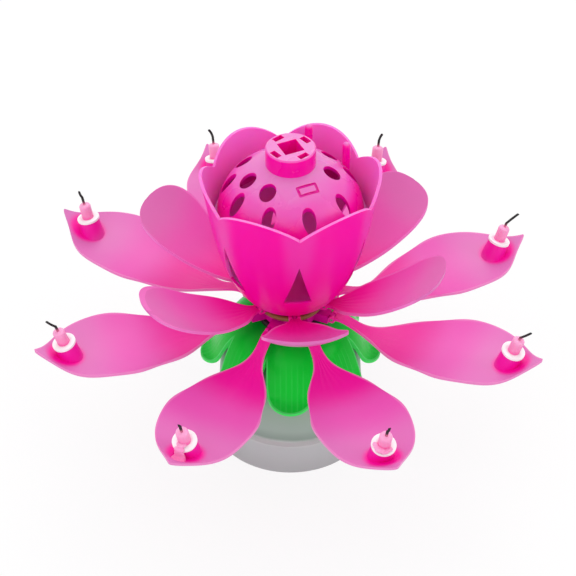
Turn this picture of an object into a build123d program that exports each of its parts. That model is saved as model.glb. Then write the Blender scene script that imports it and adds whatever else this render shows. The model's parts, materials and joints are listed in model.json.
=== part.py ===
from build123d import *
from math import cos, pi, radians, sin, sqrt, tan
import os

# A flower-shaped musical birthday candle, open, standing on its base.
# The origin is the centre of the base's underside and +Z runs up the spindle.
# Azimuths are degrees from +X, counted towards +Y. Lengths are millimetres.

# Shared fits
overrun = 1.0
fit_gap = 0.05
running_gap = 0.1
free_gap = 0.3
quarter_turn = 90

# Base shell, the frosted housing under the flower
base_radius = 35.0
base_wall = 1.8
skirt_taper = 2.3
skirt_height = 13.4
skirt_step = 0.9
skirt_ledge = 1.5
body_taper = 1.4
body_drop = 23.6
shoulder_drop = 7.0
shoulder_inset = 7.3
shell_flat_inset = 10.5
shell_top_z = 57.6

# Base plate, the bottom cover
plate_thickness = 2.0
plate_gap = 0.6
screw_inset = 1.1
screw_azimuths = (-90, 10, 170)
screw_boss_radius = 3.2
screw_boss_height = 9.0
screw_radius = 1.1
screw_length = 7.0
screw_head_radius = 2.3
screw_head_height = 0.9
screw_head_recess = 1.1
screw_drive_width = 0.6

# Power switch slider in the base plate
switch_gap = 5.0
switch_travel = 2.0
switch_knob_length = 4.0
switch_knob_width = 3.0
switch_knob_recess = 0.4
switch_flange_margin = 1.2
switch_flange_thickness = 0.9
switch_rib_width = 0.5
switch_rib_depth = 0.25

# Button cells and their contacts
cell_radius_share = 0.1779
cell_height = 5.4
cell_edge_gap = 7.6
cell_gap = 1.1
cell_side_step = 2.2
contact_thickness = 0.5
contact_width = 4.0
cell_rim_inset = 1.2
cell_rim_step = 0.3
cell_wall = 1.0
cell_wall_height = 3.0

# Sounder disc
sounder_radius_share = 0.457
sounder_thickness = 0.5
sounder_cap_inset = 2.5
sounder_cap_thickness = 0.3
sounder_y = -1.0
sound_hole_radius = 0.7
sound_hole_inset = 3.5
sound_hole_count = 6

# Circuit board
board_inset = 6.1
board_thickness = 1.2
board_lift = 6.9
standoff_radius = 1.5
standoff_place_shares = ((0.686, -0.457), (-0.686, -0.457), (0.0, 0.594))
chip_length = 8.0
chip_width = 5.0
chip_height = 1.6
capacitor_radius = 2.0
capacitor_height = 3.2
capacitor_out_share = 0.457
switch_body_gap = 0.4
switch_body_width = 5.0

# Motor bracket, motor and gears
bracket_drop = 4.0
bracket_thickness = 2.0
bracket_inset = 4.4
bracket_post_radius = 2.0
bracket_post_margin = 0.2
bracket_post_azimuths = (-45, -135, 165)
bearing_boss_radius = 5.0
bearing_boss_height = 5.0
gear_module_share = 0.0339
gear_teeth = 36
pinion_teeth = 9
tooth_share = 0.38
tooth_tip_share = 0.2
addendum_share = 0.8
dedendum_share = 1.15
gear_thickness = 3.0
gear_hub_radius = 5.0
gear_hub_height = 4.0
gear_lift = 1.0
motor_wall_gap = 3.9
motor_length = 14.0
motor_cap_radius = 3.0
motor_cap_height = 1.2
motor_shaft_radius = 0.75
motor_collar_radius = 2.0

# Spindle and its bearing collar
spindle_radius = 2.5
spindle_tip_gap = 1.0
spindle_top_drop = 4.0
sleeve_radius = 4.4
sleeve_depth = 8.0
collar_inset = 0.1
collar_thickness = 1.9
collar_tab_radius = 4.3
collar_tab_margin = 6.6
collar_tab_azimuth = -92

# Calyx, the green leaves
leaf_count = 8
first_leaf_azimuth = -90
calyx_lift = 1.9
calyx_wall = 1.2
neck_margin = 1.5
leaf_width_share = 0.3203
leaf_tip_flare = 5.0
leaf_tip_drop = 21.1
leaf_bulge_margin = 0.8
leaf_bulge_drop = 13.5
leaf_shoulder_margin = 1.0
leaf_shoulder_drop = 2.9
leaf_waist_flare = 2.6
leaf_waist_drop = 18.3

# Petal hub
hub_gap = 0.3
hub_core_radius = 11.8
outer_hinge_radius = 19.3
outer_hinge_rise = 2.6
inner_hinge_radius = 15.8
inner_hinge_step = 5.8
cup_seat_rise = 1.3
barrel_radius = 1.5
pin_radius = 0.6
pin_recess = 0.1
tongue_radius = 1.3
tongue_thickness = 1.5
fork_gap = 0.25
heel_gap = 0.15

# Outer petals, which carry the candles
outer_count = 8
outer_first_azimuth = -159.1
outer_lifts = (0, 0, 0, 0, -2.5, 0, 0, 4.0)
outer_tip_radius = 107.0
outer_tip_rise = 9.3
outer_half_width = 18.6
outer_stem_half_width = 2.4
outer_thickness = 1.2
outer_trough_radius = 58.0

# Inner petals, plain spoons
inner_count = 6
inner_first_azimuth = -144.0
inner_lifts = (-5.0, 2.3, 1.5, 0, 0, 0)
inner_tip_radius = 64.6
inner_tip_rise = 28.7
inner_half_width = 16.4
inner_stem_half_width = 2.3
inner_thickness = 1.5
inner_trough_radius = 30.0

# Candle seats, discs, candles and wicks on the outer petals
candle_tilt = 15.0
seat_along_share = 0.8415
seat_rise_share = 0.215
seat_foot_slope = 14.0
seat_height = 7.6
seat_foot_radius = 5.3
seat_top_radius = 4.2
disc_radius = 4.7
disc_thickness = 0.9
candle_radius = 2.42
candle_bore_gap = 0.04
candle_sunk = 5.0
candle_stand = 6.6
candle_shoulder = 1.1
wick_radius = 0.55
wick_root = 3.0
wick_straights = (2.6, 3.4, 3.0, 1.2, 1.8, 3.0, 3.4, 3.6)
wick_curve_radius = 5.0
wick_turns = (55, 14, 24, 62, 78, 36, 42, 30)
wick_headings = (270, 180, 0, 270, 270, 180, 0, 270)

# Rubber band round the hub's neck
band_radius = 12.9
band_half_thickness = 1.05
band_drop = 2.5

# Flower cup
cup_wall = 1.2
cup_foot_radius = 14.4
cup_knee_radius = 18.2
cup_knee_rise = 2.6
cup_lower_radius = 23.2
cup_lower_rise = 9.6
cup_middle_radius = 27.2
cup_middle_rise = 19.4
cup_upper_radius = 31.4
cup_upper_rise = 37.0
cup_cusp_radius = 33.8
cup_cusp_rise = 52.6
cup_lobe_radius = 35.4
cup_lobe_rise = 60.6
cup_lobe_count = 6
cup_floor_thickness = 1.8
window_low_rise = 16.0
window_high_rise = 38.5
window_half_width = 5.6

# Seed dome inside the cup
dome_radius = 28.8
dome_height = 24.2
dome_rise = 42.1
dome_wall = 1.4
dome_skirt_drop = 2.6
dome_flange_radius = 30.2
dome_flange_thickness = 1.3
inner_seed_radius = 3.3
inner_seed_places = ((-159, 17.4), (-121, 16.8), (-9, 16.0), (37, 19.0), (110, 20.0), (155, 20.0))
outer_seed_half_width = 2.7
outer_seed_half_length = 3.1
outer_seed_ring_radius = 24.0
outer_seed_azimuths = (-148, -110, -73, -34, 14, 87, 124, 178)
slot_azimuth = -65
slot_ring_radius = 15.3
slot_length = 8.5
slot_width = 4.5
slot_corner = 0.6
slot_depth = 0.8
slot_bar_margin = 1.1
crown_radius = 9.7
crown_rise = 6.1
crown_edge = 0.5
socket_width = 8.0
socket_turn = 25
socket_depth = 7.4
pocket_ring_radius = 7.4
pocket_count = 4
pocket_first_azimuth = 40
pocket_length = 4.4
pocket_width = 2.4
pocket_depth = 2.6
post_radius = 1.6
post_ring_radius = 24.4
post_azimuths = (27, 73)
post_rise = 24.5

# Values that follow from the ones above
skirt_top_radius = base_radius - skirt_taper
body_foot_radius = skirt_top_radius - skirt_ledge
body_top_radius = body_foot_radius - body_taper
body_top_z = shell_top_z - body_drop
shoulder_radius = body_top_radius - shoulder_inset
shell_flat_radius = shoulder_radius - shell_flat_inset
plate_radius = base_radius - base_wall - plate_gap
screw_ring_radius = body_foot_radius - base_wall - screw_inset
cell_radius = cell_radius_share * plate_radius
cell_rim_radius = cell_radius - cell_rim_inset
cell_spacing = 2 * cell_radius + cell_gap
cell_middle_y = plate_radius - cell_edge_gap - cell_radius
cell_places = (
    (-cell_spacing, cell_middle_y - cell_side_step),
    (0, cell_middle_y),
    (cell_spacing, cell_middle_y - cell_side_step),
)
bracket_z = body_top_z - bracket_drop
bracket_top_z = bracket_z + bracket_thickness
bracket_radius = body_top_radius - base_wall - bracket_inset
bracket_post_ring_radius = bracket_radius - bracket_post_radius - bracket_post_margin
board_radius = bracket_radius - board_inset
board_z = plate_thickness + board_lift
standoff_places = [(board_radius * x, board_radius * y) for x, y in standoff_place_shares]
sounder_radius = sounder_radius_share * board_radius
switch_y = sounder_y - sounder_radius - switch_gap
gear_module = gear_module_share * bracket_radius
gear_radius = gear_module * gear_teeth / 2
pinion_radius = gear_module * pinion_teeth / 2
gear_distance = gear_radius + pinion_radius + gear_module * running_gap
motor_radius = body_top_radius - base_wall - motor_wall_gap - gear_distance
gear_z = bracket_top_z + gear_lift
calyx_top_z = shell_top_z + calyx_lift
calyx_neck_radius = shell_flat_radius + neck_margin
collar_radius = calyx_neck_radius - collar_inset
leaf_bulge_radius = body_top_radius + leaf_bulge_margin
leaf_half_width = leaf_width_share * leaf_bulge_radius
leaf_waist_radius = leaf_bulge_radius + leaf_waist_flare
leaf_tip_radius = leaf_waist_radius + leaf_tip_flare
leaf_tip_z = calyx_top_z - leaf_tip_drop
hub_floor_z = calyx_top_z + collar_thickness + hub_gap
outer_hinge_z = hub_floor_z + outer_hinge_rise
inner_hinge_z = outer_hinge_z + inner_hinge_step
outer_tip_z = outer_hinge_z + outer_tip_rise
inner_tip_z = inner_hinge_z + inner_tip_rise
cup_seat_z = inner_hinge_z + cup_seat_rise
spindle_top_z = cup_seat_z - spindle_top_drop
dome_centre_z = cup_seat_z + dome_rise
dome_foot_z = dome_centre_z - dome_skirt_drop
dome_top_z = dome_centre_z + dome_height
crown_top_z = dome_top_z + crown_rise
post_top_z = dome_centre_z + post_rise

os.makedirs("parts", exist_ok=True)


def save(piece, name):
    """Label a finished piece and write it to its own file."""
    piece.label = name
    export_step(piece, "parts/" + name + ".step")


def save_turned(piece, azimuth, name):
    """Write a copy of a piece, turned about the spindle to its azimuth."""
    with BuildPart() as copy:
        with PolarLocations(0, 1, start_angle=azimuth):
            add(piece)
    save(copy.part, name)


def round_body(outer_points, top_z, top_radius, foot_z):
    """A body of revolution whose side is a straight foot and a smooth upper curve."""
    with BuildPart() as body:
        with BuildSketch(Plane.XZ):
            with BuildLine():
                Polyline((0, foot_z), outer_points[0], outer_points[1], outer_points[2], outer_points[3])
                Spline(*outer_points[3:], (top_radius, top_z))
                Polyline((top_radius, top_z), (0, top_z), (0, foot_z))
            make_face()
        revolve(axis=Axis.Z)
    return body.part


# Base shell: a skirt, a step and an upright body that rounds in under the leaves
def make_base_shell():
    shell_points = [
        (base_radius, 0),
        (skirt_top_radius, skirt_height),
        (body_foot_radius, skirt_height + skirt_step),
        (body_top_radius, body_top_z),
        (shoulder_radius, shell_top_z - shoulder_drop),
    ]
    hollow_points = [(radius - base_wall, z) for radius, z in shell_points]
    hollow_points[0] = (base_radius - base_wall, -overrun)
    with BuildPart() as shell:
        add(round_body(shell_points, shell_top_z, shell_flat_radius, 0))
        hollow_flat = shell_flat_radius - base_wall
        add(
            round_body(hollow_points, shell_top_z - base_wall, hollow_flat, -overrun),
            mode=Mode.SUBTRACT,
        )
        with BuildSketch(Plane.XY.offset(plate_thickness)):
            for azimuth in screw_azimuths:
                with PolarLocations(screw_ring_radius, 1, start_angle=azimuth):
                    Circle(screw_boss_radius)
                    with Locations((screw_boss_radius / 2, 0)):
                        Rectangle(screw_boss_radius + base_wall, screw_boss_radius)
        extrude(amount=screw_boss_height)
        with BuildSketch(Plane.XY.offset(plate_thickness)):
            for azimuth in screw_azimuths:
                with PolarLocations(screw_ring_radius, 1, start_angle=azimuth):
                    Circle(screw_radius)
        extrude(amount=screw_length, mode=Mode.SUBTRACT)
        with BuildSketch(Plane.XY.offset(shell_top_z - base_wall - overrun)):
            Circle(sleeve_radius + fit_gap)
        extrude(amount=base_wall + 2 * overrun, mode=Mode.SUBTRACT)
    return shell.part


# Base plate: a disc with a switch slot, sound holes, cell walls and board standoffs
def make_base_plate():
    slot_length_x = switch_knob_length + switch_travel + 2 * free_gap
    with BuildPart() as plate:
        Cylinder(plate_radius, plate_thickness, align=(Align.CENTER, Align.CENTER, Align.MIN))
        with BuildSketch(Plane.XY.offset(plate_thickness)):
            with Locations(*standoff_places):
                Circle(standoff_radius)
        extrude(amount=board_z - plate_thickness)
        with BuildSketch(Plane.XY.offset(plate_thickness)):
            with Locations(*cell_places):
                Circle(cell_radius + fit_gap + cell_wall)
            with Locations(*cell_places):
                Circle(cell_radius + fit_gap, mode=Mode.SUBTRACT)
        extrude(amount=cell_wall_height)
        with BuildSketch():
            with Locations((0, switch_y)):
                Rectangle(slot_length_x, switch_knob_width + 2 * free_gap)
            with Locations((0, sounder_y)):
                with PolarLocations(sounder_radius - sound_hole_inset, sound_hole_count):
                    Circle(sound_hole_radius)
        extrude(amount=plate_thickness, mode=Mode.SUBTRACT)
        for azimuth in screw_azimuths:
            with PolarLocations(screw_ring_radius, 1, start_angle=azimuth):
                Cylinder(
                    screw_radius + running_gap,
                    plate_thickness,
                    align=(Align.CENTER, Align.CENTER, Align.MIN),
                    mode=Mode.SUBTRACT,
                )
                Cylinder(
                    screw_head_radius + running_gap,
                    screw_head_recess,
                    align=(Align.CENTER, Align.CENTER, Align.MIN),
                    mode=Mode.SUBTRACT,
                )
    return plate.part


# Base screws: three alike, driven up into the shell's bosses
def make_base_screws():
    head_low_z = screw_head_recess - screw_head_height
    with BuildPart() as screws:
        for azimuth in screw_azimuths:
            with PolarLocations(screw_ring_radius, 1, start_angle=azimuth):
                with Locations((0, 0, head_low_z)):
                    Cylinder(
                        screw_head_radius,
                        screw_head_height,
                        align=(Align.CENTER, Align.CENTER, Align.MIN),
                    )
                with Locations((0, 0, screw_head_recess)):
                    Cylinder(
                        screw_radius - fit_gap,
                        screw_length,
                        align=(Align.CENTER, Align.CENTER, Align.MIN),
                    )
                with Locations((0, 0, head_low_z)):
                    Box(
                        2 * screw_head_radius * cos(radians(45)),
                        screw_drive_width,
                        screw_head_height,
                        mode=Mode.SUBTRACT,
                    )
                    Box(
                        screw_drive_width,
                        2 * screw_head_radius * cos(radians(45)),
                        screw_head_height,
                        mode=Mode.SUBTRACT,
                    )
    return screws.part


# Switch slider: a ribbed knob below the plate and a flange that keeps it in
def make_switch_slider():
    flange_length = switch_knob_length + switch_travel + 2 * switch_flange_margin
    flange_width = switch_knob_width + 2 * switch_flange_margin
    knob_height = plate_thickness + fit_gap - switch_knob_recess
    with BuildPart() as slider:
        with BuildSketch(Plane.XY.offset(switch_knob_recess)):
            with Locations((-switch_travel / 2, switch_y)):
                Rectangle(switch_knob_length, switch_knob_width)
        extrude(amount=knob_height)
        with BuildSketch(Plane.XY.offset(plate_thickness + fit_gap)):
            with Locations((-switch_travel / 2, switch_y)):
                Rectangle(flange_length, flange_width)
        extrude(amount=switch_flange_thickness)
        with BuildSketch(Plane.XY.offset(switch_knob_recess)):
            with Locations((-switch_travel / 2, switch_y)):
                with GridLocations(2 * switch_rib_width, 0, 3, 1):
                    Rectangle(switch_rib_width, switch_knob_width)
        extrude(amount=switch_rib_depth, mode=Mode.SUBTRACT)
    return slider.part


# Button cells: three in a row, each can with a raised cap
def make_button_cells():
    can_height = cell_height - cell_rim_step
    with BuildPart() as cells:
        with BuildSketch(Plane.XY.offset(plate_thickness + contact_thickness)):
            with Locations(*cell_places):
                Circle(cell_radius)
        extrude(amount=can_height)
        with BuildSketch(Plane.XY.offset(plate_thickness + contact_thickness + can_height)):
            with Locations(*cell_places):
                Circle(cell_rim_radius)
        extrude(amount=cell_rim_step)
    return cells.part


# Battery contacts: a strip below each cell and one strip across the tops
def make_battery_contacts():
    with BuildPart() as contacts:
        with BuildSketch(Plane.XY.offset(plate_thickness)):
            with Locations(*cell_places):
                Circle(cell_rim_radius)
                Rectangle(contact_width / 2, 2 * cell_rim_radius, mode=Mode.SUBTRACT)
        extrude(amount=contact_thickness)
        with BuildSketch(Plane.XY.offset(plate_thickness + contact_thickness + cell_height)):
            with BuildLine():
                strip = Polyline(*cell_places)
                offset(strip, amount=contact_width / 2, side=Side.BOTH)
            make_face()
        extrude(amount=contact_thickness)
    return contacts.part


# Sounder: a thin brass disc with a smaller ceramic disc on it
def make_sounder():
    with BuildPart() as sounder:
        with BuildSketch(Plane.XY.offset(plate_thickness)):
            with Locations((0, sounder_y)):
                Circle(sounder_radius)
        extrude(amount=sounder_thickness)
        with BuildSketch(Plane.XY.offset(plate_thickness + sounder_thickness)):
            with Locations((0, sounder_y)):
                Circle(sounder_radius - sounder_cap_inset)
        extrude(amount=sounder_cap_thickness)
    return sounder.part


# Circuit board: a disc with the melody chip, a capacitor and the switch's body
def make_circuit_board():
    switch_top = plate_thickness + fit_gap + switch_flange_thickness + switch_body_gap
    with BuildPart() as board:
        with BuildSketch(Plane.XY.offset(board_z)):
            Circle(board_radius)
        extrude(amount=board_thickness)
        with BuildSketch(Plane.XY.offset(board_z + board_thickness)):
            with Locations((-chip_length / 2, 0)):
                Rectangle(chip_length, chip_width)
        extrude(amount=chip_height)
        with BuildSketch(Plane.XY.offset(board_z + board_thickness)):
            with Locations((capacitor_out_share * board_radius, -chip_length)):
                Circle(capacitor_radius)
        extrude(amount=capacitor_height)
        with BuildSketch(Plane.XY.offset(switch_top)):
            with Locations((0, switch_y)):
                Rectangle(switch_knob_length + switch_travel, switch_body_width)
        extrude(amount=board_z - switch_top)
    return board.part


# Motor bracket: a shelf on three posts with the spindle's lower bearing
def make_motor_bracket():
    with BuildPart() as bracket:
        with BuildSketch(Plane.XY.offset(bracket_z)):
            Circle(bracket_radius)
        extrude(amount=bracket_thickness)
        with BuildSketch(Plane.XY.offset(plate_thickness)):
            for azimuth in bracket_post_azimuths:
                with PolarLocations(bracket_post_ring_radius, 1, start_angle=azimuth):
                    Circle(bracket_post_radius)
        extrude(amount=bracket_z - plate_thickness)
        with BuildSketch(Plane.XY.offset(bracket_z - bearing_boss_height)):
            Circle(bearing_boss_radius)
        extrude(amount=bearing_boss_height)
        with BuildSketch(Plane.XY.offset(bracket_z - bearing_boss_height + spindle_tip_gap)):
            Circle(spindle_radius + running_gap)
        extrude(amount=bearing_boss_height + bracket_thickness, mode=Mode.SUBTRACT)
        with BuildSketch(Plane.XY.offset(bracket_z)):
            with Locations((gear_distance, 0)):
                Circle(motor_collar_radius + fit_gap)
        extrude(amount=bracket_thickness, mode=Mode.SUBTRACT)
    return bracket.part


# Motor: a can that hangs under the shelf, its collar in the shelf's hole
def make_motor():
    with BuildPart() as motor:
        with BuildSketch(Plane.XY.offset(bracket_z - motor_length)):
            with Locations((gear_distance, 0)):
                Circle(motor_radius)
        extrude(amount=motor_length)
        with BuildSketch(Plane.XY.offset(bracket_z - motor_length - motor_cap_height)):
            with Locations((gear_distance, 0)):
                Circle(motor_cap_radius)
        extrude(amount=motor_cap_height)
        with BuildSketch(Plane.XY.offset(bracket_z)):
            with Locations((gear_distance, 0)):
                Circle(motor_collar_radius)
        extrude(amount=bracket_thickness)
        with BuildSketch(Plane.XY.offset(bracket_top_z)):
            with Locations((gear_distance, 0)):
                Circle(motor_shaft_radius)
        extrude(amount=gear_lift + gear_thickness)
    return motor.part


def gear_outline(teeth, first_azimuth):
    """Root circle and straight-sided teeth, thinner than half a pitch for backlash."""
    pitch_radius = gear_module * teeth / 2
    root_radius = pitch_radius - dedendum_share * gear_module
    tip_radius = pitch_radius + addendum_share * gear_module
    pitch = pi * gear_module
    root_half = pitch * (2 * tooth_share - tooth_tip_share) / 2
    tip_half = pitch * tooth_tip_share / 2
    inside = root_radius * cos(radians(360 / teeth / 2))
    Circle(root_radius)
    with PolarLocations(0, teeth, start_angle=first_azimuth):
        Polygon(
            (inside, -root_half),
            (tip_radius, -tip_half),
            (tip_radius, tip_half),
            (inside, root_half),
            align=None,
        )


# Drive gear: fast on the spindle, with a hub on its upper side
def make_drive_gear():
    with BuildPart() as gear:
        with BuildSketch(Plane.XY.offset(gear_z)):
            gear_outline(gear_teeth, 0)
        extrude(amount=gear_thickness)
        with BuildSketch(Plane.XY.offset(gear_z + gear_thickness)):
            Circle(gear_hub_radius)
        extrude(amount=gear_hub_height)
        with BuildSketch(Plane.XY.offset(gear_z)):
            Circle(spindle_radius + fit_gap)
        extrude(amount=gear_thickness + gear_hub_height, mode=Mode.SUBTRACT)
    return gear.part


# Motor pinion: a gap faces the gear's tooth at azimuth 0
def make_motor_pinion():
    with BuildPart() as pinion:
        with BuildSketch(Plane.XY.offset(gear_z)):
            with Locations((gear_distance, 0)):
                gear_outline(pinion_teeth, 0)
        extrude(amount=gear_thickness)
        with BuildSketch(Plane.XY.offset(gear_z)):
            with Locations((gear_distance, 0)):
                Circle(motor_shaft_radius + fit_gap)
        extrude(amount=gear_thickness, mode=Mode.SUBTRACT)
    return pinion.part


# Spindle: from the lower bearing up through the sleeve into the hub
def make_spindle():
    tip_z = bracket_z - bearing_boss_height + spindle_tip_gap + free_gap
    with BuildPart() as spindle:
        with BuildSketch(Plane.XY.offset(tip_z)):
            Circle(spindle_radius)
        extrude(amount=spindle_top_z - tip_z)
        chamfer(spindle.faces().sort_by(Axis.Z)[-1].edges(), length=spindle_radius / 4)
    return spindle.part


# Bearing collar: a dark ring on the calyx, with a round tab and a sleeve down through it
def make_bearing_collar():
    tab_out = collar_radius + collar_tab_margin - collar_tab_radius
    with BuildPart() as collar:
        with BuildSketch(Plane.XY.offset(calyx_top_z)):
            Circle(collar_radius)
            with PolarLocations(tab_out, 1, start_angle=collar_tab_azimuth):
                Circle(collar_tab_radius)
        extrude(amount=collar_thickness)
        chamfer(collar.faces().sort_by(Axis.Z)[-1].edges(), length=collar_thickness / 4)
        with BuildSketch(Plane.XY.offset(calyx_top_z - sleeve_depth)):
            Circle(sleeve_radius)
        extrude(amount=sleeve_depth)
        with BuildSketch(Plane.XY.offset(calyx_top_z - sleeve_depth)):
            Circle(spindle_radius + running_gap)
        extrude(amount=sleeve_depth + collar_thickness, mode=Mode.SUBTRACT)
    return collar.part


# Calyx: a thin bell cut into round-ended leaves that flare at their tips
def make_calyx():
    neck = (calyx_neck_radius, calyx_top_z)
    shoulder = (shoulder_radius + leaf_shoulder_margin, calyx_top_z - leaf_shoulder_drop)
    bulge = (leaf_bulge_radius, calyx_top_z - leaf_bulge_drop)
    waist = (leaf_waist_radius, calyx_top_z - leaf_waist_drop)
    tip = (leaf_tip_radius + overrun, leaf_tip_z - overrun / 2)
    low_tip = (tip[0], tip[1] - calyx_wall)
    low_waist = (waist[0] - calyx_wall, waist[1] - calyx_wall / 2)
    low_bulge = (bulge[0] - calyx_wall, bulge[1])
    low_shoulder = (shoulder[0] - calyx_wall / 2, shoulder[1] - calyx_wall)
    low_neck = (neck[0], shell_top_z)
    leaf_round = leaf_tip_radius - leaf_half_width
    with BuildPart() as calyx:
        with BuildSketch(Plane.XZ):
            with BuildLine():
                Line((0, calyx_top_z), neck)
                Spline(neck, shoulder, bulge, waist, tip, tangents=((1, 0), (1, -0.35)))
                Line(tip, low_tip)
                Spline(
                    low_tip, low_waist, low_bulge, low_shoulder, low_neck,
                    tangents=((-1, 0.35), (-1, 0)),
                )
                Polyline(low_neck, (0, shell_top_z), (0, calyx_top_z))
            make_face()
        revolve(axis=Axis.Z)
        with BuildSketch(Plane.XY.offset(leaf_tip_z - 2 * overrun - calyx_wall)):
            with PolarLocations(leaf_round, leaf_count, start_angle=first_leaf_azimuth):
                Circle(leaf_half_width)
            with PolarLocations(leaf_round / 2, leaf_count, start_angle=first_leaf_azimuth):
                Rectangle(leaf_round, 2 * leaf_half_width)
        extrude(amount=calyx_top_z - leaf_tip_z + 3 * overrun + calyx_wall, mode=Mode.INTERSECT)
        with BuildSketch(Plane.XY.offset(shell_top_z - overrun)):
            Circle(sleeve_radius + fit_gap)
        extrude(amount=calyx_top_z - shell_top_z + 2 * overrun, mode=Mode.SUBTRACT)
    return calyx.part


def hub_lug(hinge_radius, hinge_z, block_low_z, stem_half_width):
    """A stop block and a thin round-ended tongue, at azimuth 0, for one petal's fork."""
    block_reach = hinge_radius - barrel_radius - heel_gap
    with BuildPart() as lug:
        with BuildSketch(Plane.XY.offset(block_low_z)):
            with Locations((block_reach / 2, 0)):
                Rectangle(block_reach, 2 * stem_half_width)
        extrude(amount=hinge_z + tongue_radius - block_low_z)
        with Locations((hinge_radius / 2, 0, hinge_z)):
            Box(hinge_radius, tongue_thickness, 2 * tongue_radius)
        with Locations((hinge_radius, 0, hinge_z)):
            Cylinder(tongue_radius, tongue_thickness, rotation=(quarter_turn, 0, 0))
            Cylinder(
                pin_radius,
                2 * tongue_thickness,
                rotation=(quarter_turn, 0, 0),
                mode=Mode.SUBTRACT,
            )
    return lug.part


# Petal hub: a core with a lower ring of lugs for the outer petals and an upper one for the inner
def make_petal_hub():
    outer_lug = hub_lug(outer_hinge_radius, outer_hinge_z, hub_floor_z, outer_stem_half_width)
    inner_lug = hub_lug(
        inner_hinge_radius, inner_hinge_z, inner_hinge_z - tongue_radius, inner_stem_half_width
    )
    with BuildPart() as hub:
        with BuildSketch(Plane.XY.offset(hub_floor_z)):
            Circle(hub_core_radius)
        extrude(amount=cup_seat_z - hub_floor_z)
        with PolarLocations(0, outer_count, start_angle=outer_first_azimuth):
            add(outer_lug)
        with PolarLocations(0, inner_count, start_angle=inner_first_azimuth):
            add(inner_lug)
        with BuildSketch(Plane.XY.offset(hub_floor_z)):
            Circle(spindle_radius + fit_gap)
        extrude(amount=cup_seat_z - hub_floor_z, mode=Mode.SUBTRACT)
    return hub.part


# Hinge pins: one set for each ring of the hub
def make_hinge_pins(circle_radius, height_z, count, first_azimuth, stem_half_width):
    with BuildPart() as pins:
        with Locations((0, 0, height_z)):
            with PolarLocations(circle_radius, count, start_angle=first_azimuth):
                Cylinder(
                    pin_radius, 2 * (stem_half_width - pin_recess), rotation=(quarter_turn, 0, 0)
                )
    return pins.part


# Rubber band: a ring stretched round the hub's core, between its two rings of lugs
def make_rubber_band():
    with BuildPart() as band:
        with Locations((0, 0, inner_hinge_z - band_drop)):
            Torus(band_radius, band_half_thickness)
    return band.part


def petal_blade(station_shares, root, tip, half_width, widest_trough, thickness):
    """A thin troughed blade lofted through upright slices from its root to its tip."""
    with BuildPart() as blade:
        for along_share, width_share, rise_share, trough_share in station_shares:
            slice_x = root[0] + along_share * (tip[0] - root[0])
            slice_z = root[1] + rise_share * (tip[1] - root[1])
            side = width_share * half_width
            trough_radius = trough_share * widest_trough
            lift = trough_radius - sqrt(trough_radius**2 - side**2)
            low = -thickness / 2
            high = thickness / 2
            with BuildSketch(Plane(origin=(slice_x, 0, slice_z), x_dir=(0, 1, 0), z_dir=(1, 0, 0))):
                with BuildLine():
                    ThreePointArc((-side, lift + low), (0, low), (side, lift + low))
                    Line((side, lift + low), (side, lift + high))
                    ThreePointArc((side, lift + high), (0, high), (-side, lift + high))
                    Line((-side, lift + high), (-side, lift + low))
                make_face()
        loft()
    return blade.part


def hinge_eye(hinge_radius, hinge_z, stem_half_width):
    """The round eye at a petal's root and the square heel that stops it, open, on its block."""
    with BuildPart() as eye:
        with Locations((hinge_radius, 0, hinge_z)):
            Cylinder(barrel_radius, 2 * stem_half_width, rotation=(quarter_turn, 0, 0))
        with BuildSketch(Plane.XY.offset(hinge_z - barrel_radius)):
            with Locations((hinge_radius - barrel_radius / 2, 0)):
                Rectangle(barrel_radius, 2 * stem_half_width)
        extrude(amount=barrel_radius)
    return eye.part


def hinge_cut(hinge_radius, hinge_z, stem_half_width):
    """The pin's running hole and the fork's slot in a petal's eye."""
    slot_width = tongue_thickness + 2 * fork_gap
    with BuildPart() as cut:
        with Locations((hinge_radius, 0, hinge_z)):
            Cylinder(
                pin_radius + running_gap / 2,
                2 * stem_half_width + 2 * overrun,
                rotation=(quarter_turn, 0, 0),
            )
            Cylinder(tongue_radius + free_gap, slot_width, rotation=(quarter_turn, 0, 0))
        with Locations((hinge_radius - barrel_radius, 0, hinge_z - barrel_radius)):
            Box(2 * barrel_radius, slot_width, 2 * barrel_radius)
    return cut.part


# Outer petal, at azimuth 0: stem, pointed blade and a tapered candle seat near the tip.
# Each slice is its share of the way out, of the half width, of the rise to the tip and of
# the trough's radius.
outer_station_shares = (
    (0.0, 0.125, 0.0, 1.0), (0.06, 0.125, 0.05, 1.0), (0.12, 0.13, -0.17, 1.0),
    (0.18, 0.195, -0.335, 1.0), (0.28, 0.46, -0.41, 1.0), (0.40, 0.735, -0.32, 1.0),
    (0.53, 0.92, -0.17, 1.0), (0.65, 0.99, -0.02, 1.0), (0.76, 0.905, 0.09, 1.0),
    (0.84, 0.74, 0.20, 1.0), (0.91, 0.44, 0.44, 1.0), (0.96, 0.19, 0.71, 1.0),
    (1.0, 0.02, 1.0, 1.0),
)
outer_blade = petal_blade(
    outer_station_shares, (outer_hinge_radius, outer_hinge_z), (outer_tip_radius, outer_tip_z),
    outer_half_width, outer_trough_radius, outer_thickness,
)
seat_foot = Vector(
    outer_hinge_radius + seat_along_share * (outer_tip_radius - outer_hinge_radius),
    0,
    outer_hinge_z + seat_rise_share * outer_tip_rise,
)
seat_slope = Vector(cos(radians(seat_foot_slope)), 0, sin(radians(seat_foot_slope)))
candle_axis = Vector(sin(radians(candle_tilt)), 0, cos(radians(candle_tilt)))
foot_plane = Plane(origin=seat_foot, x_dir=seat_slope, z_dir=seat_slope.cross(Vector(0, 1, 0)))
seat_plane = Plane(
    origin=seat_foot + candle_axis * seat_height, x_dir=(0, 1, 0), z_dir=candle_axis
)

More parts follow.
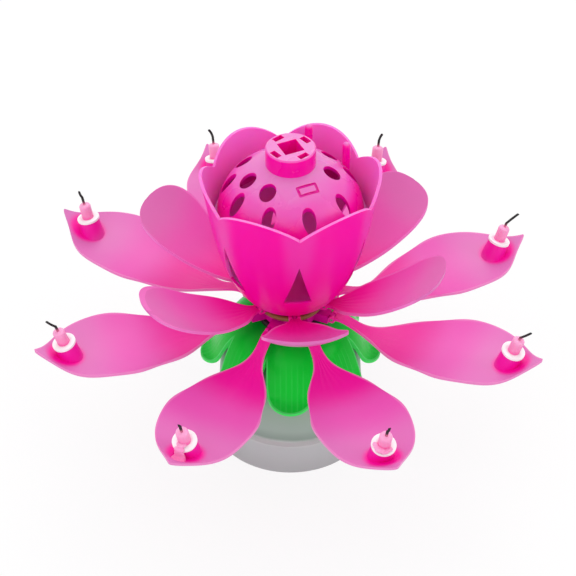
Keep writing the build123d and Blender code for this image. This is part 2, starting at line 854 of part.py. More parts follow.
with BuildPart() as outer_petal:
    add(outer_blade)
    add(hinge_eye(outer_hinge_radius, outer_hinge_z, outer_stem_half_width))
    with BuildSketch(foot_plane):
        Circle(seat_foot_radius)
    with BuildSketch(seat_plane):
        Circle(seat_top_radius)
    loft()
    with BuildSketch(seat_plane):
        Circle(candle_radius + candle_bore_gap)
    extrude(amount=-candle_sunk, mode=Mode.SUBTRACT)
    add(
        hinge_cut(outer_hinge_radius, outer_hinge_z, outer_stem_half_width),
        mode=Mode.SUBTRACT,
    )

# Drip disc, candle and wick, each on the seat's plane
with BuildPart() as drip_disc:
    with BuildSketch(seat_plane):
        Circle(disc_radius)
        Circle(candle_radius + candle_bore_gap, mode=Mode.SUBTRACT)
    extrude(amount=disc_thickness)

with BuildPart() as candle:
    with BuildSketch(seat_plane.offset(-candle_sunk)):
        Circle(candle_radius)
    extrude(amount=candle_sunk + disc_thickness + candle_stand)
    fillet(candle.faces().sort_by(Axis.Z)[-1].edges(), radius=candle_shoulder)
    with BuildSketch(seat_plane.offset(disc_thickness + candle_stand - wick_root)):
        Circle(wick_radius + candle_bore_gap)
    extrude(amount=wick_root + overrun, mode=Mode.SUBTRACT)


def make_wick(straight, turn, heading):
    """A thin wick that stands straight in the wax and then leans over in one arc."""
    lean = seat_plane.x_dir * cos(radians(heading)) + seat_plane.y_dir * sin(radians(heading))
    root_origin = seat_plane.origin + candle_axis * (disc_thickness + candle_stand - wick_root)
    root = Plane(origin=root_origin, x_dir=lean, z_dir=candle_axis)
    rise = wick_root + straight
    bend = radians(turn)
    bend_end = (wick_curve_radius * (1 - cos(bend)), rise + wick_curve_radius * sin(bend))
    side_plane = Plane(origin=root.origin, x_dir=root.x_dir, z_dir=root.y_dir * -1)
    with BuildPart() as wick:
        with BuildLine(side_plane) as path:
            Line((0, 0), (0, rise))
            TangentArc((0, rise), bend_end, tangent=(0, 1))
        with BuildSketch(root) as section:
            Circle(wick_radius)
        sweep(sections=section.sketch, path=path.wire())
    return wick.part


def lifted(piece, hinge_radius, hinge_z, lift):
    """A copy of a petal's piece, raised about its hinge to where that petal rests."""
    return piece.rotate(Axis((hinge_radius, 0, hinge_z), (0, -1, 0)), lift)


for place in range(outer_count):
    azimuth = outer_first_azimuth + place * 360 / outer_count
    wick_part = make_wick(wick_straights[place], wick_turns[place], wick_headings[place])
    pieces = (outer_petal.part, drip_disc.part, candle.part, wick_part)
    for piece, kind in zip(pieces, ("outer_petal_", "drip_disc_", "candle_", "wick_")):
        raised = lifted(piece, outer_hinge_radius, outer_hinge_z, outer_lifts[place])
        save_turned(raised, azimuth, kind + str(place + 1))


# Inner petal, at azimuth 0: a short stem and a round-ended spoon, deepest near the stem
inner_station_shares = (
    (0.0, 0.14, 0.0, 0.55), (0.06, 0.145, 0.03, 0.55), (0.13, 0.29, 0.065, 0.55),
    (0.21, 0.48, 0.11, 0.64), (0.32, 0.65, 0.185, 0.74), (0.46, 0.80, 0.29, 0.86),
    (0.60, 0.92, 0.43, 0.95), (0.74, 1.0, 0.60, 1.0), (0.85, 0.94, 0.75, 1.0),
    (0.93, 0.75, 0.877, 1.0), (0.98, 0.46, 0.962, 1.0), (1.0, 0.12, 1.0, 1.0),
)
inner_blade = petal_blade(
    inner_station_shares, (inner_hinge_radius, inner_hinge_z), (inner_tip_radius, inner_tip_z),
    inner_half_width, inner_trough_radius, inner_thickness,
)

with BuildPart() as inner_petal:
    add(inner_blade)
    add(hinge_eye(inner_hinge_radius, inner_hinge_z, inner_stem_half_width))
    add(
        hinge_cut(inner_hinge_radius, inner_hinge_z, inner_stem_half_width),
        mode=Mode.SUBTRACT,
    )

for place in range(inner_count):
    azimuth = inner_first_azimuth + place * 360 / inner_count
    raised = lifted(inner_petal.part, inner_hinge_radius, inner_hinge_z, inner_lifts[place])
    save_turned(raised, azimuth, "inner_petal_" + str(place + 1))


def cup_side(inset):
    """The cup's side from its foot to the height of its lobes, moved in by a wall."""
    return [
        (cup_knee_radius - inset, cup_seat_z + cup_knee_rise + inset / 2),
        (cup_lower_radius - inset, cup_seat_z + cup_lower_rise),
        (cup_middle_radius - inset, cup_seat_z + cup_middle_rise),
        (cup_upper_radius - inset, cup_seat_z + cup_upper_rise),
        (cup_cusp_radius - inset, cup_seat_z + cup_cusp_rise),
        (cup_lobe_radius - inset, cup_seat_z + cup_lobe_rise),
    ]


# Flower cup: a thin bowl plugged into the hub, its rim in six lobes, a window under each cusp
def make_flower_cup():
    outside = cup_side(0)
    inside = cup_side(cup_wall)
    top_z = cup_seat_z + cup_lobe_rise
    floor_z = cup_seat_z + cup_floor_thickness
    half_sector = 180 / cup_lobe_count
    wedge_reach = cup_lobe_radius + overrun * 4
    wedge_half = wedge_reach * tan(radians(half_sector))
    cusp_half = cup_cusp_radius * sin(radians(half_sector))
    lobe_front = Plane(origin=(0, 0, 0), x_dir=(0, 1, 0), z_dir=(1, 0, 0))
    with BuildPart() as lobe_limit:
        with BuildSketch(Plane.XY.offset(cup_seat_z)):
            Polygon((0, 0), (wedge_reach, -wedge_half), (wedge_reach, wedge_half), align=None)
        extrude(amount=cup_lobe_rise)
        with BuildSketch(lobe_front):
            with BuildLine():
                arch = ThreePointArc(
                    (-cusp_half, cup_seat_z + cup_cusp_rise),
                    (0, top_z),
                    (cusp_half, cup_seat_z + cup_cusp_rise),
                )
                Line(arch @ 1, (wedge_half, cup_seat_z + cup_cusp_rise - overrun))
                Line((wedge_half, cup_seat_z + cup_cusp_rise - overrun), (wedge_half, cup_seat_z))
                Line((wedge_half, cup_seat_z), (-wedge_half, cup_seat_z))
                Line((-wedge_half, cup_seat_z), (-wedge_half, cup_seat_z + cup_cusp_rise - overrun))
                Line((-wedge_half, cup_seat_z + cup_cusp_rise - overrun), arch @ 0)
            make_face()
        extrude(amount=wedge_reach, mode=Mode.INTERSECT)
    with BuildPart() as cup:
        with BuildSketch(Plane.XZ):
            with BuildLine():
                Polyline((0, cup_seat_z), (cup_foot_radius, cup_seat_z), outside[0])
                Spline(*outside)
                Line(outside[-1], inside[-1])
                Spline(*inside)
                Polyline(inside[0], (cup_foot_radius - cup_wall, floor_z), (0, floor_z), (0, cup_seat_z))
            make_face()
        revolve(axis=Axis.Z)
        with BuildPart(mode=Mode.PRIVATE) as all_lobes:
            with PolarLocations(0, cup_lobe_count, start_angle=inner_first_azimuth + half_sector):
                add(lobe_limit.part)
        add(all_lobes.part, mode=Mode.INTERSECT)
        with BuildSketch(Plane.XY.offset(cup_seat_z)):
            Circle(spindle_radius)
        extrude(amount=free_gap - spindle_top_drop)
        for place in range(cup_lobe_count):
            turn = inner_first_azimuth + place * 360 / cup_lobe_count
            outward = Vector(cos(radians(turn)), sin(radians(turn)), 0)
            across = Vector(-sin(radians(turn)), cos(radians(turn)), 0)
            with BuildSketch(Plane(origin=outward * cup_foot_radius, x_dir=across, z_dir=outward)):
                with BuildLine():
                    Polyline(
                        (-window_half_width, cup_seat_z + window_low_rise),
                        (window_half_width, cup_seat_z + window_low_rise),
                        (0, cup_seat_z + window_high_rise),
                        close=True,
                    )
                make_face()
            extrude(amount=cup_lobe_radius, mode=Mode.SUBTRACT)
    return cup.part


def dome_surface_z(radius, inset):
    """Height of the dome's outer or inner skin at a radius."""
    across = dome_radius - inset
    return dome_centre_z + (dome_height - inset) * sqrt(1 - (radius / across) ** 2)


def dome_normal(radius, azimuth):
    """Direction square to the dome's skin at a radius and azimuth."""
    rise = (dome_surface_z(radius, 0) - dome_centre_z) / dome_height**2
    run = radius / dome_radius**2
    return Vector(run * cos(radians(azimuth)), run * sin(radians(azimuth)), rise).normalized()


def dome_plane(radius, azimuth):
    """A plane that touches the dome, its x axis level and along the dome's ring."""
    place = Vector(
        radius * cos(radians(azimuth)), radius * sin(radians(azimuth)), dome_surface_z(radius, 0)
    )
    around = Vector(-sin(radians(azimuth)), cos(radians(azimuth)), 0)
    return Plane(origin=place, x_dir=around, z_dir=dome_normal(radius, azimuth))


# Seed dome: a shell with seed holes, a slot, a socketed crown and two posts
def make_seed_dome():
    inner_radius = dome_radius - dome_wall
    inner_height = dome_height - dome_wall
    flange_top_z = dome_foot_z + dome_flange_thickness
    post_foot_z = dome_surface_z(post_ring_radius, dome_wall / 2)
    with BuildPart() as dome:
        with BuildSketch(Plane.XZ):
            with BuildLine():
                EllipticalCenterArc(
                    (0, dome_centre_z), dome_radius, dome_height, arc_size=quarter_turn
                )
                Polyline(
                    (dome_radius, dome_centre_z),
                    (dome_radius, flange_top_z),
                    (dome_flange_radius, flange_top_z),
                    (dome_flange_radius, dome_foot_z),
                    (inner_radius, dome_foot_z),
                    (inner_radius, dome_centre_z),
                )
                EllipticalCenterArc(
                    (0, dome_centre_z), inner_radius, inner_height, arc_size=quarter_turn
                )
                Line(
                    (0, dome_centre_z + inner_height),
                    (0, dome_top_z),
                )
            make_face()
        revolve(axis=Axis.Z)
        with BuildSketch(Plane.XY.offset(crown_top_z)):
            Circle(crown_radius)
        extrude(amount=dome_surface_z(crown_radius, dome_wall / 2) - crown_top_z)
        chamfer(dome.faces().sort_by(Axis.Z)[-1].edges(), length=crown_edge)
        for azimuth in post_azimuths:
            with BuildSketch(Plane.XY.offset(post_foot_z)):
                with PolarLocations(post_ring_radius, 1, start_angle=azimuth):
                    Circle(post_radius)
            extrude(amount=post_top_z - post_radius - post_foot_z)
            with Locations((0, 0, post_top_z - post_radius)):
                with PolarLocations(post_ring_radius, 1, start_angle=azimuth):
                    Sphere(post_radius)
        with BuildSketch(Plane.XY.offset(dome_centre_z + dome_wall)):
            for azimuth in outer_seed_azimuths:
                with PolarLocations(outer_seed_ring_radius, 1, start_angle=azimuth):
                    Ellipse(outer_seed_half_length, outer_seed_half_width)
        extrude(amount=dome_height, mode=Mode.SUBTRACT)
        with BuildSketch(Plane.XY.offset(dome_centre_z + dome_wall)):
            for azimuth, ring_radius in inner_seed_places:
                with PolarLocations(ring_radius, 1, start_angle=azimuth):
                    Circle(inner_seed_radius)
        extrude(amount=dome_height, mode=Mode.SUBTRACT)
        with BuildSketch(dome_plane(slot_ring_radius, slot_azimuth)):
            RectangleRounded(slot_length, slot_width, slot_corner)
            Rectangle(
                slot_length - 2 * slot_bar_margin, slot_width - 2 * slot_bar_margin, mode=Mode.SUBTRACT
            )
        extrude(amount=-slot_depth, mode=Mode.SUBTRACT)
        with BuildSketch(Plane.XY.offset(crown_top_z)):
            Rectangle(socket_width, socket_width, rotation=socket_turn)
        extrude(amount=-socket_depth, mode=Mode.SUBTRACT)
        with BuildSketch(Plane.XY.offset(crown_top_z)):
            with PolarLocations(pocket_ring_radius, pocket_count, start_angle=pocket_first_azimuth):
                Rectangle(pocket_width, pocket_length)
        extrude(amount=-pocket_depth, mode=Mode.SUBTRACT)
    return dome.part


save(make_base_shell(), "base_shell")
save(make_base_plate(), "base_plate")
save(make_base_screws(), "base_screws")
save(make_switch_slider(), "switch_slider")
save(make_button_cells(), "button_cells")
save(make_battery_contacts(), "battery_contacts")
save(make_sounder(), "sounder")
save(make_circuit_board(), "circuit_board")
save(make_motor_bracket(), "motor_bracket")
save(make_motor(), "motor")
save(make_motor_pinion(), "motor_pinion")
save(make_drive_gear(), "drive_gear")
save(make_spindle(), "spindle")
save(make_bearing_collar(), "bearing_collar")
save(make_calyx(), "calyx")
save(make_petal_hub(), "petal_hub")
save(
    make_hinge_pins(
        outer_hinge_radius, outer_hinge_z, outer_count, outer_first_azimuth, outer_stem_half_width
    ),
    "outer_hinge_pins",
)
save(
    make_hinge_pins(
        inner_hinge_radius, inner_hinge_z, inner_count, inner_first_azimuth, inner_stem_half_width
    ),
    "inner_hinge_pins",
)
save(make_rubber_band(), "rubber_band")
save(make_flower_cup(), "flower_cup")
save(make_seed_dome(), "seed_dome")
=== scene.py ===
import json
from math import cos, pi, radians, sin

import bpy
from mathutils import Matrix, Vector


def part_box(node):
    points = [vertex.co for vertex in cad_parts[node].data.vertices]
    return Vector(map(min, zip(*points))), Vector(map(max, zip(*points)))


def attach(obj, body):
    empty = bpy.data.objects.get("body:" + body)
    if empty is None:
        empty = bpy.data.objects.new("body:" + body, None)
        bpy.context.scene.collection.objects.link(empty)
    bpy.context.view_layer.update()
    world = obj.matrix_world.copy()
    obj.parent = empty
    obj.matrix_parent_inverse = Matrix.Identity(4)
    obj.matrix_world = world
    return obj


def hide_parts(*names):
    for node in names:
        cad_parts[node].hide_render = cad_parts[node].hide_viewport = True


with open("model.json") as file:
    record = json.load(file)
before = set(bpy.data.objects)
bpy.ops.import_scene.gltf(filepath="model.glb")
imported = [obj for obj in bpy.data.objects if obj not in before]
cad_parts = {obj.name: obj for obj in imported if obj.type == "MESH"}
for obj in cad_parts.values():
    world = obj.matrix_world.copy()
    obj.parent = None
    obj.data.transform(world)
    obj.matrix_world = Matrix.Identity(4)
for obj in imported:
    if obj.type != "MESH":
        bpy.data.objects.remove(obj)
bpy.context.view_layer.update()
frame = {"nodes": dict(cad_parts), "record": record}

# Everything below is in metres, in the frame's own axes.
mm = 0.001

# Petal rings: first azimuth, count, and reach from hinge to tip
OUTER_FIRST = -159.1
OUTER_COUNT = 8
OUTER_ROOT = 19.3 * mm
OUTER_TIP = 107.0 * mm
OUTER_HALF_WIDTH = 18.6 * mm
INNER_FIRST = -144.0
INNER_COUNT = 6
INNER_ROOT = 15.8 * mm
INNER_TIP = 64.6 * mm
INNER_HALF_WIDTH = 16.4 * mm

# Half width along each petal, as (share of the reach, share of the half width)
OUTER_WIDTH_SHARES = (
    (0.0, 0.125), (0.12, 0.13), (0.18, 0.195), (0.28, 0.46), (0.40, 0.735), (0.53, 0.92),
    (0.65, 0.99), (0.76, 0.905), (0.84, 0.74), (0.91, 0.44), (0.96, 0.19), (1.0, 0.02),
)
INNER_WIDTH_SHARES = (
    (0.0, 0.14), (0.06, 0.145), (0.13, 0.29), (0.21, 0.48), (0.32, 0.65), (0.46, 0.80),
    (0.60, 0.92), (0.74, 1.0), (0.85, 0.94), (0.93, 0.75), (0.98, 0.46), (1.0, 0.12),
)

# Seed dome
DOME_CENTRE_Z = 113.5 * mm
DOME_RADIUS = 28.8 * mm
DOME_HEIGHT = 24.2 * mm

# Calyx leaves
LEAF_COUNT = 8
LEAF_FIRST = -90.0
LEAF_HALF_WIDTH = 9.8 * mm
LEAF_ROUND_CENTRE = 28.4 * mm

# Candles: how far out their seats are, and how far they stand out of their discs
SEAT_OUT = 95.1 * mm
CANDLE_STAND = 6.6 * mm

# Frosted base: the height over which its bands are spread
BASE_SPAN = 50 * mm

# Marks on the finishes, each as where it starts and where it is full
EDGE_LINE = (0.8 * mm, 0.3 * mm)
EDGE_LINE_START = (0.08, 0.22)
SEAT_TINT = (8.6 * mm, 5.6 * mm)
SEAT_FACE = (-0.7, -0.3)
GROOVE_START = (0.62, 0.12)
GROOVE_MIDDLE = (0.8, 0.35)
GROOVE_RATE = 24.0
LEAST_HALF_WIDTH = 1.0 * mm
# Cup rim's painted highlight: how far its face turns up, and the height it starts at
RIM_HIGHLIGHT_FACE = (0.35, 0.75)
RIM_HIGHLIGHT_HEIGHT = (120 * mm, 122 * mm)
CUP_INSIDE = (0.0, -4 * mm)
CUP_FOLD = (8.5 * mm, 14.5 * mm)
CUP_FADE = (84 * mm, 118 * mm)
# Dome: painted shade on the faces inside its shell
DOME_HOLE_SHADE = (0.985, 0.955)
LEAF_START = (22 * mm, 25 * mm)
LEAF_LINE = (LEAF_HALF_WIDTH - 0.8 * mm, LEAF_HALF_WIDTH - 0.4 * mm)
# Leaves: the span of painted shade round the neck, under the flower
LEAF_NECK_SHADE = (16 * mm, 36 * mm)
RIB_PITCH = 2.3 * mm
RIB_SHARPNESS = 5.0
RIB_MIDDLE = (7.6 * mm, 5.5 * mm)
RIB_START = (24 * mm, 30 * mm)
WAX_STAIN = (3.3 * mm, 2.6 * mm)
WICK_SCORCH = 4.0 * mm
SPILT_WAX_SPAN = (70 * mm, 76 * mm)

# Mesh work: crease angles in degrees, over which an edge stays sharp, and the melting of wax
PETAL_CREASE = 40
DISC_CREASE = 40
CANDLE_CREASE = 50
WICK_CREASE = 60
WELD_GAP = 0.001 * mm
MELT_GRAIN = 0.16 * mm
MELT_SOFTNESS = 0.6
MELT_ROUNDS = 6
LUMP_ROUNDNESS = 3

# Light: panels as name, place and side in metres and power in watts, and the surround's strength
PANELS = (
    ("top_panel", (-0.25, -0.1, 1.0), 0.9, 1.4),
    ("front_panel", (-0.5, -0.95, 0.55), 0.8, 1.6),
    ("right_panel", (0.9, -0.25, 0.55), 0.5, 1.1),
    ("rear_panel", (0.1, 0.75, 1.05), 0.7, 3.6),
)
PANEL_TARGET = (0, 0, 80 * mm)
SURROUND_STRENGTH = 0.86
FLOOR_SIZE = 30.0
FLOOR_WHITENESS = 0.85

# Finishes that several pieces share, as linear colours
WHITE = (1, 1, 1, 1)
MAGENTA = (0.90, 0.0, 0.375, 1)
MAGENTA_DARK = (0.50, 0.0, 0.25, 1)
# Darker magenta: painted shade in the dome's holes and slot
MAGENTA_HOLE_SHADE = (0.74, 0.0, 0.36, 1)
MAGENTA_COOL = (0.90, 0.17, 0.68, 1)
PETAL_FOOT = (0.88, 0.004, 0.38, 1)
PINK = (0.79, 0.088, 0.47, 1)
# Pale and grey pinks for the petals' outer halves: partly their own paler tone, partly painted
# sheen
PINK_PALE_SHEEN = (0.69, 0.155, 0.47, 1)
PINK_GREY_SHEEN = (0.68, 0.185, 0.50, 1)
# Pale dome pink: painted sheen on the dome's upward faces
PINK_DOME_SHEEN = (0.72, 0.19, 0.52, 1)
# Rim pink: the painted highlight on the cup's rim top, and the inner petals' edge line
RIM_PINK = (0.85, 0.20, 0.60, 1)
EDGE_PINK = (0.82, 0.24, 0.55, 1)
LEAF = (0.001, 0.68, 0.035, 1)
# Darker green: painted shade on the leaves round the neck
LEAF_SHADED = (0.001, 0.52, 0.024, 1)
LEAF_RIM = (0.07, 0.82, 0.15, 1)

# Camera at the photograph's angle
CAMERA_DISTANCE = 625 * mm
CAMERA_ELEVATION = 40.78
CAMERA_TARGET = Vector((-1.0 * mm, 0, 73.1 * mm))
SENSOR_WIDTH = 36.0
LENS = 95.3


def make_camera():
    lift = radians(CAMERA_ELEVATION)
    place = CAMERA_TARGET + Vector((0, -cos(lift), sin(lift))) * CAMERA_DISTANCE
    bpy.ops.object.camera_add(location=place, rotation=(pi / 2 - lift, 0, 0))
    camera = bpy.context.object
    camera.name = "photo_camera"
    camera.data.sensor_width = SENSOR_WIDTH
    camera.data.lens = LENS
    bpy.context.scene.camera = camera
    bpy.context.scene.view_settings.view_transform = "Standard"


# Light: broad soft panels high up, and a soft surround that looks white to the eye and in gloss
def add_panel(name, place, size, power):
    bpy.ops.object.light_add(type="AREA", location=place)
    lamp = bpy.context.object
    lamp.name = name
    lamp.data.size = size
    lamp.data.energy = power
    aim = Vector(PANEL_TARGET) - Vector(place)
    lamp.rotation_euler = aim.to_track_quat("-Z", "Y").to_euler()


def make_light():
    for panel in PANELS:
        add_panel(*panel)
    world = bpy.data.worlds.new("studio")
    bpy.context.scene.world = world
    world.use_nodes = True
    tree = world.node_tree
    tree.nodes.clear()
    output = tree.nodes.new("ShaderNodeOutputWorld")
    soft = tree.nodes.new("ShaderNodeBackground")
    soft.inputs["Color"].default_value = WHITE
    soft.inputs["Strength"].default_value = SURROUND_STRENGTH
    white = tree.nodes.new("ShaderNodeBackground")
    white.inputs["Color"].default_value = WHITE
    white.inputs["Strength"].default_value = 1.0
    mix = tree.nodes.new("ShaderNodeMixShader")
    tree.links.new(seen_rays(tree), mix.inputs["Fac"])
    tree.links.new(soft.outputs[0], mix.inputs[1])
    tree.links.new(white.outputs[0], mix.inputs[2])
    tree.links.new(mix.outputs[0], output.inputs["Surface"])


def make_floor():
    bpy.ops.mesh.primitive_plane_add(size=FLOOR_SIZE, location=(0, 0, 0))
    floor = bpy.context.object
    floor.name = "floor"
    floor.data.materials.append(floor_finish())


# Small helpers that every material uses
def start_material(name):
    """A material with one Principled shader, returned with its tree and shader."""
    material = bpy.data.materials.new(name)
    material.use_nodes = True
    tree = material.node_tree
    shader = tree.nodes["Principled BSDF"]
    return material, tree, shader


def math_node(tree, operation, first, second=None, third=None, clamp=False):
    """A Math node fed by sockets or plain numbers, returned as its output socket."""
    node = tree.nodes.new("ShaderNodeMath")
    node.operation = operation
    node.use_clamp = clamp
    for socket, value in zip(node.inputs, (first, second, third)):
        if value is None:
            continue
        if isinstance(value, (int, float)):
            socket.default_value = value
        else:
            tree.links.new(value, socket)
    return node.outputs[0]


def sum_of_squares(tree, first, second):
    return math_node(tree, "ADD", math_node(tree, "MULTIPLY", first, first),
                     math_node(tree, "MULTIPLY", second, second))


def seen_rays(tree):
    """One for the rays that show a surface to the eye, by itself or in gloss or clear plastic."""
    path = tree.nodes.new("ShaderNodeLightPath")
    return math_node(tree, "MAXIMUM", path.outputs["Is Camera Ray"], math_node(
        tree, "MAXIMUM", path.outputs["Is Glossy Ray"], path.outputs["Is Transmission Ray"]))


def span(tree, value, start, full):
    """A smooth step from 0 at start to 1 at full."""
    node = tree.nodes.new("ShaderNodeMapRange")
    node.interpolation_type = "SMOOTHSTEP"
    node.inputs["From Min"].default_value = start
    node.inputs["From Max"].default_value = full
    tree.links.new(value, node.inputs["Value"])
    return node.outputs["Result"]


def mix_colour(tree, mask, first, second):
    """A colour mix whose ends are sockets or plain colours."""
    node = tree.nodes.new("ShaderNodeMix")
    node.data_type = "RGBA"
    tree.links.new(mask, node.inputs["Factor"])
    for socket, value in ((node.inputs[6], first), (node.inputs[7], second)):
        if isinstance(value, tuple):
            socket.default_value = value
        else:
            tree.links.new(value, socket)
    return node.outputs[2]


def ramp(tree, value, stops):
    """A colour ramp with (place, colour) stops."""
    node = tree.nodes.new("ShaderNodeValToRGB")
    node.color_ramp.interpolation = "EASE"
    stones = node.color_ramp.elements
    while len(stones) < len(stops):
        stones.new(0.5)
    for stone, (place, colour) in zip(stones, stops):
        stone.position = place
        stone.color = colour
    tree.links.new(value, node.inputs["Fac"])
    return node.outputs["Color"]


def object_point(tree):
    return tree.nodes.new("ShaderNodeTexCoord").outputs["Object"]


def split(tree, vector):
    node = tree.nodes.new("ShaderNodeSeparateXYZ")
    tree.links.new(vector, node.inputs[0])
    return node.outputs


def noise(tree, scale, detail, vector=None):
    """A cloudy pattern from 0 to 1 on the object's own coordinates."""
    node = tree.nodes.new("ShaderNodeTexNoise")
    node.inputs["Scale"].default_value = scale
    node.inputs["Detail"].default_value = detail
    tree.links.new(vector or object_point(tree), node.inputs["Vector"])
    return node.outputs["Fac"]


def either_way(tree, cloud, reach):
    """A cloudy pattern turned into a shift of up to reach, both ways."""
    return math_node(tree, "MULTIPLY_ADD", cloud, 2 * reach, -reach)


def bump(tree, shader, height, distance, strength):
    node = tree.nodes.new("ShaderNodeBump")
    node.inputs["Strength"].default_value = strength
    node.inputs["Distance"].default_value = distance
    tree.links.new(height, node.inputs["Height"])
    tree.links.new(node.outputs["Normal"], shader.inputs["Normal"])


def new_group(name, inputs, outputs):
    """An empty shader node group with named number sockets."""
    group = bpy.data.node_groups.new(name, "ShaderNodeTree")
    for label, value in inputs:
        socket = group.interface.new_socket(label, in_out="INPUT", socket_type="NodeSocketFloat")
        socket.default_value = value
    for label in outputs:
        group.interface.new_socket(label, in_out="OUTPUT", socket_type="NodeSocketFloat")
    entry = group.nodes.new("NodeGroupInput")
    leave = group.nodes.new("NodeGroupOutput")
    return group, entry, leave


def use_group(tree, group, **values):
    node = tree.nodes.new("ShaderNodeGroup")
    node.node_tree = group
    for label, value in values.items():
        node.inputs[label.replace("_", " ")].default_value = value
    return node.outputs


# Shared effect: where a point lies on its own petal, counted out from the spindle
def make_ray_group():
    group, entry, leave = new_group(
        "ray_place", (("Turn", 0.0), ("Sector", 1.0)), ("Out", "Side")
    )
    x, y = split(group, object_point(group))[:2]
    angle = math_node(group, "ARCTAN2", y, x)
    half = math_node(group, "MULTIPLY", entry.outputs["Sector"], 0.5)
    turned = math_node(group, "SUBTRACT", angle, entry.outputs["Turn"])
    shifted = math_node(group, "ADD", turned, half)
    wrapped = math_node(group, "WRAP", shifted, entry.outputs["Sector"], 0.0)
    local = math_node(group, "SUBTRACT", wrapped, half)
    radius = math_node(group, "SQRT", sum_of_squares(group, x, y))
    out = math_node(group, "MULTIPLY", radius, math_node(group, "COSINE", local))
    side = math_node(group, "MULTIPLY", radius, math_node(group, "SINE", local))
    group.links.new(out, leave.inputs["Out"])
    group.links.new(side, leave.inputs["Side"])
    return group


# Shared effect: the faint unevenness of a moulded, handled plastic skin
def make_skin_group():
    group, entry, leave = new_group(
        "moulded_skin", (("Rough", 0.3), ("Spread", 0.1), ("Grain", 900.0)), ("Roughness", "Height")
    )
    point = object_point(group)
    cloud = noise(group, scale=55.0, detail=4.0, vector=point)
    grain_node = group.nodes.new("ShaderNodeTexNoise")
    grain_node.inputs["Detail"].default_value = 2.0
    group.links.new(point, grain_node.inputs["Vector"])
    group.links.new(entry.outputs["Grain"], grain_node.inputs["Scale"])
    centred = math_node(group, "SUBTRACT", cloud, 0.5)
    swing = math_node(group, "MULTIPLY", centred, entry.outputs["Spread"])
    rough = math_node(group, "ADD", entry.outputs["Rough"], swing)
    height = math_node(group, "ADD", math_node(group, "MULTIPLY", cloud, 0.6),
                       math_node(group, "MULTIPLY", grain_node.outputs["Fac"], 0.12))
    group.links.new(rough, leave.inputs["Roughness"])
    group.links.new(height, leave.inputs["Height"])
    return group


RAY = make_ray_group()
SKIN = make_skin_group()


def half_width(tree, out, root, tip, widest, shares):
    """The petal's half width at a distance out, from its own shares."""
    past_root = math_node(tree, "SUBTRACT", out, root)
    along = math_node(tree, "DIVIDE", past_root, tip - root, clamp=True)
    curve = tree.nodes.new("ShaderNodeFloatCurve")
    line = curve.mapping.curves[0]
    while len(line.points) < len(shares):
        line.points.new(0.5, 0.5)
    for point, (place, share) in zip(line.points, shares):
        point.location = (place, share)
    curve.mapping.update()
    tree.links.new(along, curve.inputs["Value"])
    return math_node(tree, "MULTIPLY", curve.outputs["Value"], widest), along


def gloss(shader, level):
    """Set how strongly a surface shines."""
    shader.inputs["Specular IOR Level"].default_value = level


def moulded_skin(tree, shader, rough, spread, grain, depth, strength=0.5, relief=None):
    """The shared uneven skin on a shader, with the piece's own relief added where it has one."""
    skin = use_group(tree, SKIN, Rough=rough, Spread=spread, Grain=grain)
    tree.links.new(skin["Roughness"], shader.inputs["Roughness"])
    height = skin["Height"]
    if relief is not None:
        height = math_node(tree, "ADD", relief, height)
    bump(tree, shader, height, depth, strength)


def let_light_in(shader):
    """Let light into a thin wall of clear-dyed plastic, as far as the wall is thick."""
    shader.inputs["Subsurface Weight"].default_value = 0.7
    shader.inputs["Subsurface Radius"].default_value = (0.015, 0.002, 0.009)


def seat_reach(tree, place):
    """Distance in plan from the candle's seat."""
    along = math_node(tree, "SUBTRACT", place["Out"], SEAT_OUT)
    return math_node(tree, "SQRT", sum_of_squares(tree, along, place["Side"]))


def petal_finish(name, first, count, root, tip, widest, shares, stops, edge_colour, seated):
    """Petal plastic: deep at the stem and paler outward, partly its own tone and partly painted
    shade at the stem and painted sheen outward, a thin line on its edge, fine grooves.
    """
    material, tree, shader = start_material(name)
    place = use_group(tree, RAY, Turn=radians(first), Sector=2 * pi / count)
    width, along = half_width(tree, place["Out"], root, tip, widest, shares)
    side = math_node(tree, "ABSOLUTE", place["Side"])
    cloud = noise(tree, scale=38.0, detail=4.0)
    drift = either_way(tree, cloud, 0.07)
    # Deep at the stem, paler outward: partly the plastic's own tone, partly painted shade at the
    # stem and painted sheen outward
    colour = ramp(tree, math_node(tree, "ADD", along, drift), stops)
    if seated:
        normal = tree.nodes.new("ShaderNodeTexCoord").outputs["Normal"]
        upper_face = span(tree, split(tree, normal)[2], *SEAT_FACE)
        near_seat = span(tree, seat_reach(tree, place), *SEAT_TINT)
        tinted = math_node(tree, "MULTIPLY", near_seat, upper_face)
        colour = mix_colour(tree, tinted, colour, MAGENTA)
    margin = math_node(tree, "SUBTRACT", width, side)
    edge = span(tree, margin, *EDGE_LINE)
    far = span(tree, along, *EDGE_LINE_START)
    edge = math_node(tree, "MULTIPLY", math_node(tree, "MULTIPLY", edge, far), 0.7)
    tree.links.new(mix_colour(tree, edge, colour, edge_colour), shader.inputs["Base Color"])
    share = math_node(tree, "DIVIDE", place["Side"],
                      math_node(tree, "MAXIMUM", width, LEAST_HALF_WIDTH))
    waves = math_node(tree, "SINE", math_node(tree, "MULTIPLY", share, GROOVE_RATE))
    near_root = span(tree, along, *GROOVE_START)
    middle = span(tree, math_node(tree, "ABSOLUTE", share), *GROOVE_MIDDLE)
    grooves = math_node(tree, "MULTIPLY", math_node(tree, "MULTIPLY", waves, near_root), middle)
    moulded_skin(tree, shader, rough=0.42, spread=0.16, grain=1300.0, depth=0.12 * mm,
                 relief=math_node(tree, "MULTIPLY", grooves, 0.5))
    gloss(shader, 0.42)
    return material


